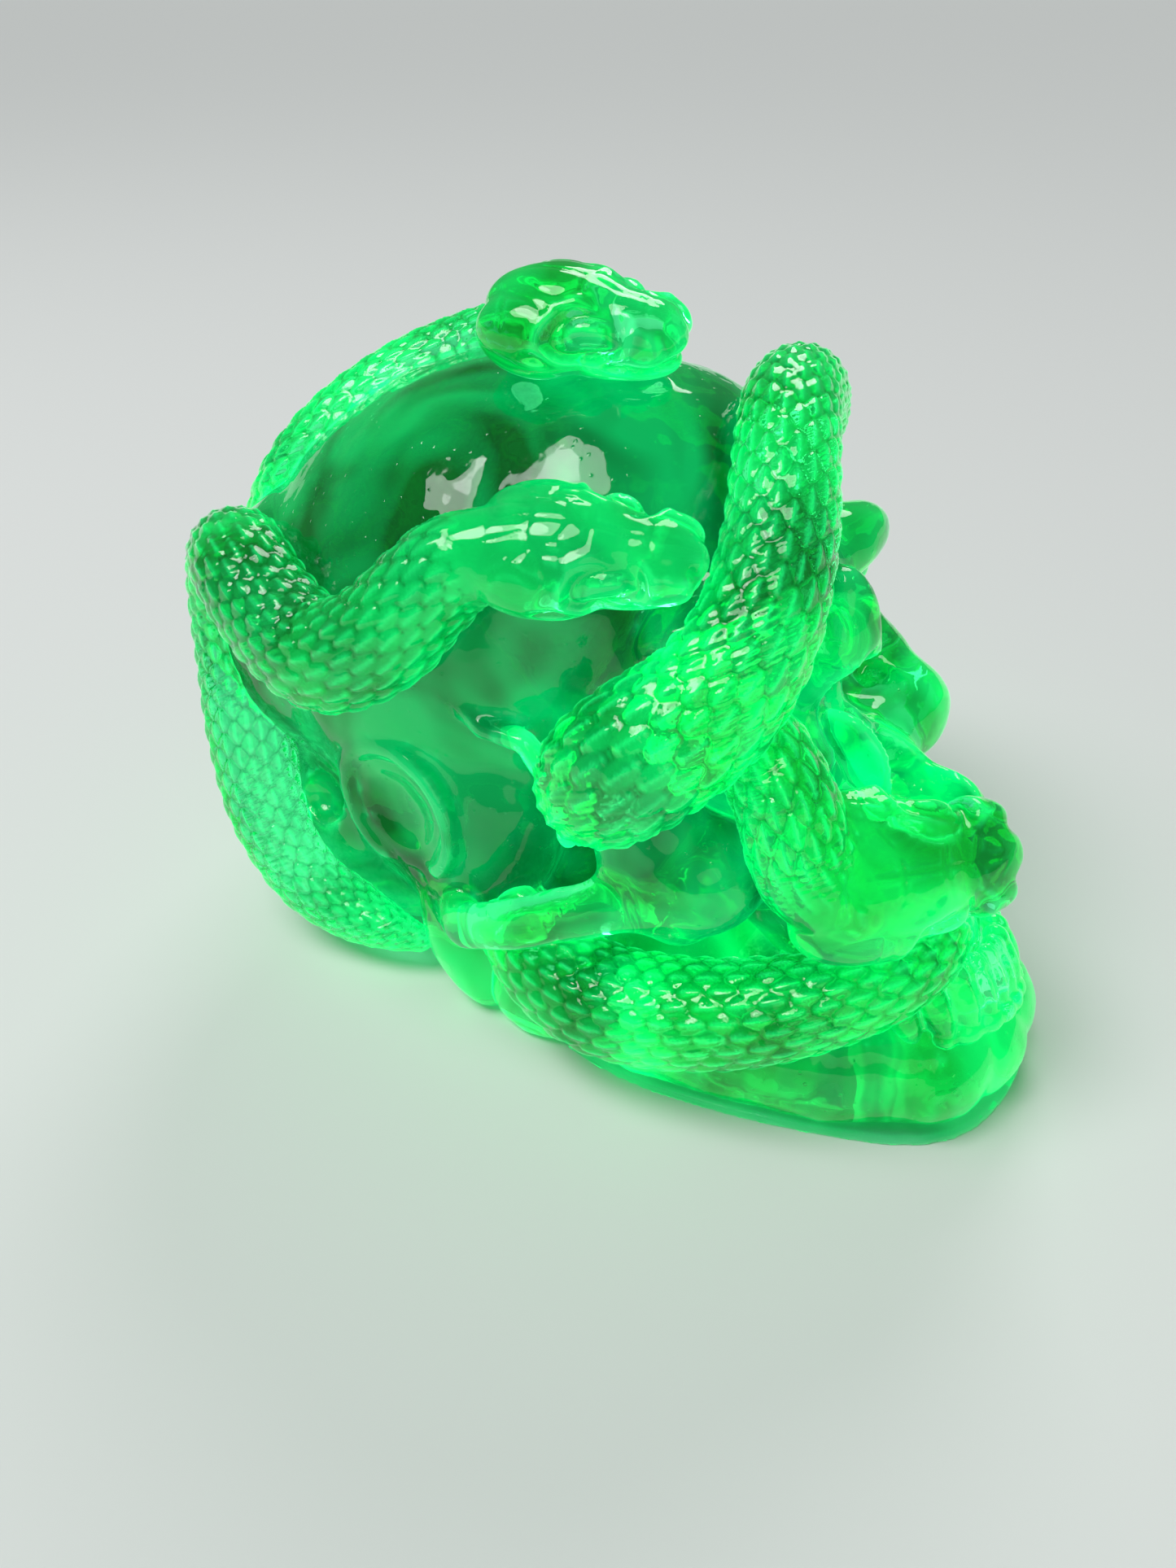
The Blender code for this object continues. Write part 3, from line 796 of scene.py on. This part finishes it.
glassLooks = {
    "patches": 90,  # noise scale of the dust and handling marks
    "patchRange": (0.35, 0.75),
    "roughness": (0.0, 0.09),
    "cords": 45,  # noise scale of the paler and deeper glass
    "cordRange": (0.38, 0.62),
    "deepTint": (0.45, 0.8, 0.72),  # of the tint, in the deeper cords
    "deepGlow": (1, 0.16, 0.12),
    # painted shade in the pits between the scales: their tint and their glow
    "hollowShade": (0.01, 0.3, 0.12),
    "hollowShadeGlow": (0.0, 0.05, 0.01),
    # painted highlight: the brighter glow painted on creases and ridges
    "creaseGlow": (0.01, 1.5, 0.42),
    "ridgeGlow": (0.03, 1.8, 0.5),
}


def noise(tree, coords, scale, detail=2, distortion=0.0):
    clouds = node(tree, "ShaderNodeTexNoise")
    clouds.inputs["Scale"].default_value = scale
    clouds.inputs["Detail"].default_value = detail
    clouds.inputs["Distortion"].default_value = distortion
    tree.links.new(coords.outputs["Object"], clouds.inputs["Vector"])
    return clouds.outputs["Fac"]


def ranged(tree, value, fromRange, toRange=(0.0, 1.0)):
    ramp = node(tree, "ShaderNodeMapRange")
    ramp.inputs["From Min"].default_value, ramp.inputs["From Max"].default_value = fromRange
    ramp.inputs["To Min"].default_value, ramp.inputs["To Max"].default_value = toRange
    tree.links.new(value, ramp.inputs["Value"])
    return ramp.outputs["Result"]


def deepAndPale(tree, tone, full, share):
    # from a share of the full colour to all of it
    mix = node(tree, "ShaderNodeMix", data_type="RGBA")
    mix.inputs["A"].default_value = (*(f * part for f, part in zip(full, share)), 1)
    mix.inputs["B"].default_value = (*full, 1)
    tree.links.new(tone, mix.inputs["Factor"])
    return mix.outputs["Result"]


def attribute(tree, name):
    return node(tree, "ShaderNodeAttribute", attribute_name=name).outputs["Fac"]


def addBumps(tree, shader, coords, bumps, only=None):
    last = None
    for pattern, pitch, strength, depth in bumps:
        height = pattern(tree, coords, pitch)
        if only is not None:
            height = times(tree, height, only)
        bump = node(tree, "ShaderNodeBump")
        bump.inputs["Strength"].default_value = strength
        bump.inputs["Distance"].default_value = depth * mm
        tree.links.new(height, bump.inputs["Height"])
        if last:
            tree.links.new(last.outputs["Normal"], bump.inputs["Normal"])
        last = bump
    tree.links.new(last.outputs["Normal"], shader.inputs["Normal"])


def glassOf(name, tint, glow, glowStrength, deep, density, bumps, scaly=False, ridgeShare=0.75):
    # clear glass with a painted green glow standing in for its fluorescence: bumps is a list of
    # (pattern, pitch in mm, strength, depth in mm)
    material = bpy.data.materials.new(name)
    material.use_nodes = True
    tree = material.node_tree
    shader = tree.nodes["Principled BSDF"]
    shader.inputs["Transmission Weight"].default_value = 1.0
    shader.inputs["IOR"].default_value = 1.5
    # painted glow: the emission lights the glass green, though no lamp here makes it fluoresce
    shader.inputs["Emission Strength"].default_value = glowStrength
    coords = node(tree, "ShaderNodeTexCoord")
    # thin films of dust and handling marks change the gloss from place to place
    patches = noise(tree, coords, glassLooks["patches"], 3)
    gloss = ranged(tree, patches, glassLooks["patchRange"], glassLooks["roughness"])
    tree.links.new(gloss, shader.inputs["Roughness"])
    # cords of paler and deeper glass
    tone = ranged(tree, noise(tree, coords, glassLooks["cords"], 2, 1.2), glassLooks["cordRange"])
    colour = deepAndPale(tree, tone, tint, glassLooks["deepTint"])
    light = deepAndPale(tree, tone, glow, glassLooks["deepGlow"])
    if scaly:  # painted shade: darker tint and dimmer glow between the scales
        hollow = attribute(tree, "hollow")
        colour = mixIn(tree, colour, glassLooks["hollowShade"], hollow)
        light = mixIn(tree, light, glassLooks["hollowShadeGlow"], hollow, 0.9)
    else:
        # painted highlight: the bone's creases glow brighter
        light = mixIn(tree, light, glassLooks["creaseGlow"], attribute(tree, "crease"), 0.7)
    # painted highlight: ridges glow brighter
    light = mixIn(tree, light, glassLooks["ridgeGlow"], attribute(tree, "ridge"), ridgeShare)
    tree.links.new(light, shader.inputs["Emission Color"])
    tree.links.new(colour, shader.inputs["Base Color"])
    addBumps(tree, shader, coords, bumps, attribute(tree, "scaly") if scaly else None)
    inside = node(tree, "ShaderNodeVolumeAbsorption")
    inside.inputs["Color"].default_value = (*deep, 1)
    inside.inputs["Density"].default_value = density
    tree.links.new(inside.outputs["Volume"], tree.nodes["Material Output"].inputs["Volume"])
    return material


def ripples(tree, coords, pitch):
    return noise(tree, coords, 1 / (pitch * mm))


def seeds(tree, coords, pitch):
    # tiny bubbles close under the skin
    cells = node(tree, "ShaderNodeTexVoronoi")
    cells.inputs["Scale"].default_value = 1 / (pitch * mm)
    tree.links.new(coords.outputs["Object"], cells.inputs["Vector"])
    return ranged(tree, cells.outputs["Distance"], (0.08, 0.16), (1.0, 0.0))


def layers(tree, coords, pitch):
    # fine steps left by the printed pattern that the mould was taken from, here and there
    turn = node(tree, "ShaderNodeMapping")
    turn.inputs["Rotation"].default_value = (-skullPose["lean"], 0, 0)
    tree.links.new(coords.outputs["Object"], turn.inputs["Vector"])
    lines = node(tree, "ShaderNodeTexWave", wave_type="BANDS", bands_direction="Z")
    wavesPerUnit = 20 / (2 * math.pi)  # of a wave texture at scale 1
    lines.inputs["Scale"].default_value = 1 / (pitch * mm * wavesPerUnit)
    lines.inputs["Distortion"].default_value = 0.6
    lines.inputs["Detail"].default_value = 1
    tree.links.new(turn.outputs["Vector"], lines.inputs["Vector"])
    patch = ranged(tree, noise(tree, coords, 120), (0.42, 0.6))
    return times(tree, lines.outputs["Fac"], patch)


deepGreen = (0.0, 0.66, 0.3)
boneGlass = glassOf(
    "boneGlass", (0.3, 1.0, 0.66), (0.0, 1.0, 0.24), 0.42, deepGreen, 105,
    [(ripples, 6.0, 0.5, 0.5), (seeds, 1.6, 0.35, 0.12)],
)
snakeGlass = glassOf(
    "snakeGlass", (0.34, 1.0, 0.7), (0.0, 1.0, 0.25), 0.3, deepGreen, 100,
    [(layers, 0.829, 0.6, 0.1), (ripples, 0.9, 0.25, 0.08)], scaly=True,
)
toothGlass = glassOf(
    "toothGlass", (0.38, 1.0, 0.7), (0.0, 1.0, 0.25), 0.2, deepGreen, 66,
    [(ripples, 2.0, 0.4, 0.2), (seeds, 1.2, 0.3, 0.08)], ridgeShare=0.35,
)
thinGlass = glassOf(
    "thinGlass", (0.5, 1.0, 0.76), (0.0, 1.0, 0.25), 0.12, deepGreen, 66,
    [(ripples, 3.0, 0.4, 0.2), (seeds, 1.0, 0.3, 0.08)],
)


def finishPiece(piece, glass, slot, *nodes):
    piece.data.shade_smooth()
    tagCreases(piece)
    piece.data.materials.clear()
    piece.data.materials.append(glass)
    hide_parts(*nodes)
    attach(piece, "root")


sunkBy = 0.3  # mm that a trimmed piece reaches into its neighbour, as in one casting

print("bone")
cranium = makeCranium()
craniumSunk = sunkCopy(cranium, sunkBy)
mandible = makeMandible(craniumSunk)
mandibleSunk = sunkCopy(mandible, sunkBy)
cutters = [craniumSunk, mandibleSunk]
print("teeth")
upper = makeTeeth("upper", cutters)
lower = makeTeeth("lower", cutters)
plate = makeFlange()
print("snakes")
made = {}
for seed, name in enumerate(("jaw", "socket", "brow", "temple", "crown")):
    made[name] = makeSnake(name, seed + 5, cutters)
    if name != "crown":
        cutters.append(sunkCopy(made[name], sunkBy))
for cutter in cutters:
    bpy.data.objects.remove(cutter, do_unlink=True)

finishPiece(cranium, boneGlass, "bone_glass", "cranium")
finishPiece(mandible, boneGlass, "bone_glass", "mandible")
finishPiece(upper, toothGlass, "tooth_glass", "upper_teeth")
finishPiece(lower, toothGlass, "tooth_glass", "lower_teeth")
finishPiece(plate, thinGlass, "thin_glass", "foot_flange")
for name, piece in made.items():
    finishPiece(piece, snakeGlass, "snake_glass", name + "_snake")


studio = {
    "floorTone": (0.78, 0.8, 0.79),
    "floorSize": 30.0,
    "worldTone": (0.5, 0.56, 0.54),
    "worldStrength": 0.22,
    "behind": 0.55,  # strength of the pale backdrop past the floor
    "lamps": {  # place, size and power of each disc
        "keyLamp": ((-0.35, 0.25, 0.7), 0.35, 1.6),
        "fillLamp": ((-0.5, -0.6, 0.5), 0.6, 0.5),
    },
    "suns": {  # direction, strength and spread in degrees
        "backlight": ((-0.8, -0.45, -0.75), 0.7, 25),
        "ceiling": ((0.35, -0.2, -1), 1.35, 35),
    },
    "lampsAim": (0, 0, 0.04),
    "lens": 26.15,
    "cameraPlace": (-98.6, -82.7, 110.0),  # mm from the skull's middle
    "cameraHeading": (0.766, 0.643),  # along X and Y
    "cameraDown": 36.2,  # degrees
}


def makeFloor():
    bm = bmesh.new()
    bmesh.ops.create_grid(bm, x_segments=1, y_segments=1, size=studio["floorSize"])
    floor = newPiece("floor", bm)
    paper = bpy.data.materials.new("paper")
    paper.use_nodes = True
    shader = paper.node_tree.nodes["Principled BSDF"]
    shader.inputs["Base Color"].default_value = (*studio["floorTone"], 1)
    shader.inputs["Roughness"].default_value = 0.9
    shader.inputs["Specular IOR Level"].default_value = 0.0
    floor.data.materials.append(paper)


def placeLight(name, light, place, aim):
    lamp = bpy.data.objects.new(name, light)
    bpy.context.scene.collection.objects.link(lamp)
    lamp.location = place
    lamp.rotation_euler = Vector(aim).to_track_quat("-Z", "Y").to_euler()


def makeLamp(name, place, size, power):
    light = bpy.data.lights.new(name, "AREA")
    light.shape = "DISK"
    light.size = size
    light.energy = power
    placeLight(name, light, place, Vector(studio["lampsAim"]) - Vector(place))


def makeSun(name, aim, strength, spread):
    # wide soft sources, so that the paper is evenly lit to its far edge
    light = bpy.data.lights.new(name, "SUN")
    light.energy = strength
    light.angle = math.radians(spread)
    placeLight(name, light, (0, 0, 0), aim)


def background(tree, tone, strength):
    shade = node(tree, "ShaderNodeBackground")
    shade.inputs["Color"].default_value = (*tone, 1)
    shade.inputs["Strength"].default_value = strength
    return shade.outputs["Background"]


def makeSky():
    # pale behind the paper's edge, while the glass itself sees a dimmer room
    sky = bpy.data.worlds.new("studio")
    bpy.context.scene.world = sky
    sky.use_nodes = True
    tree = sky.node_tree
    path = node(tree, "ShaderNodeLightPath")
    both = node(tree, "ShaderNodeMixShader")
    tree.links.new(path.outputs["Is Camera Ray"], both.inputs["Fac"])
    room = background(tree, studio["worldTone"], studio["worldStrength"])
    tree.links.new(room, both.inputs[1])
    tree.links.new(background(tree, studio["floorTone"], studio["behind"]), both.inputs[2])
    tree.links.new(both.outputs[0], tree.nodes["World Output"].inputs["Surface"])


def makeCamera():
    lens = bpy.data.cameras.new("camera")
    lens.lens = studio["lens"]
    lens.sensor_width = 36
    lens.clip_start = 0.005
    camera = bpy.data.objects.new("camera", lens)
    bpy.context.scene.collection.objects.link(camera)
    camera.location = skullMiddle + Vector(studio["cameraPlace"]) * mm
    down = math.radians(studio["cameraDown"])
    aheadX, aheadY = (h * math.cos(down) for h in studio["cameraHeading"])
    look = Vector((aheadX, aheadY, -math.sin(down)))
    camera.rotation_euler = look.to_track_quat("-Z", "Y").to_euler()
    bpy.context.scene.camera = camera


print("stage")
makeFloor()
for name, (place, size, power) in studio["lamps"].items():
    makeLamp(name, place, size, power)
for name, (aim, strength, spread) in studio["suns"].items():
    makeSun(name, aim, strength, spread)
makeSky()
makeCamera()
bpy.context.scene.view_settings.view_transform = "Standard"
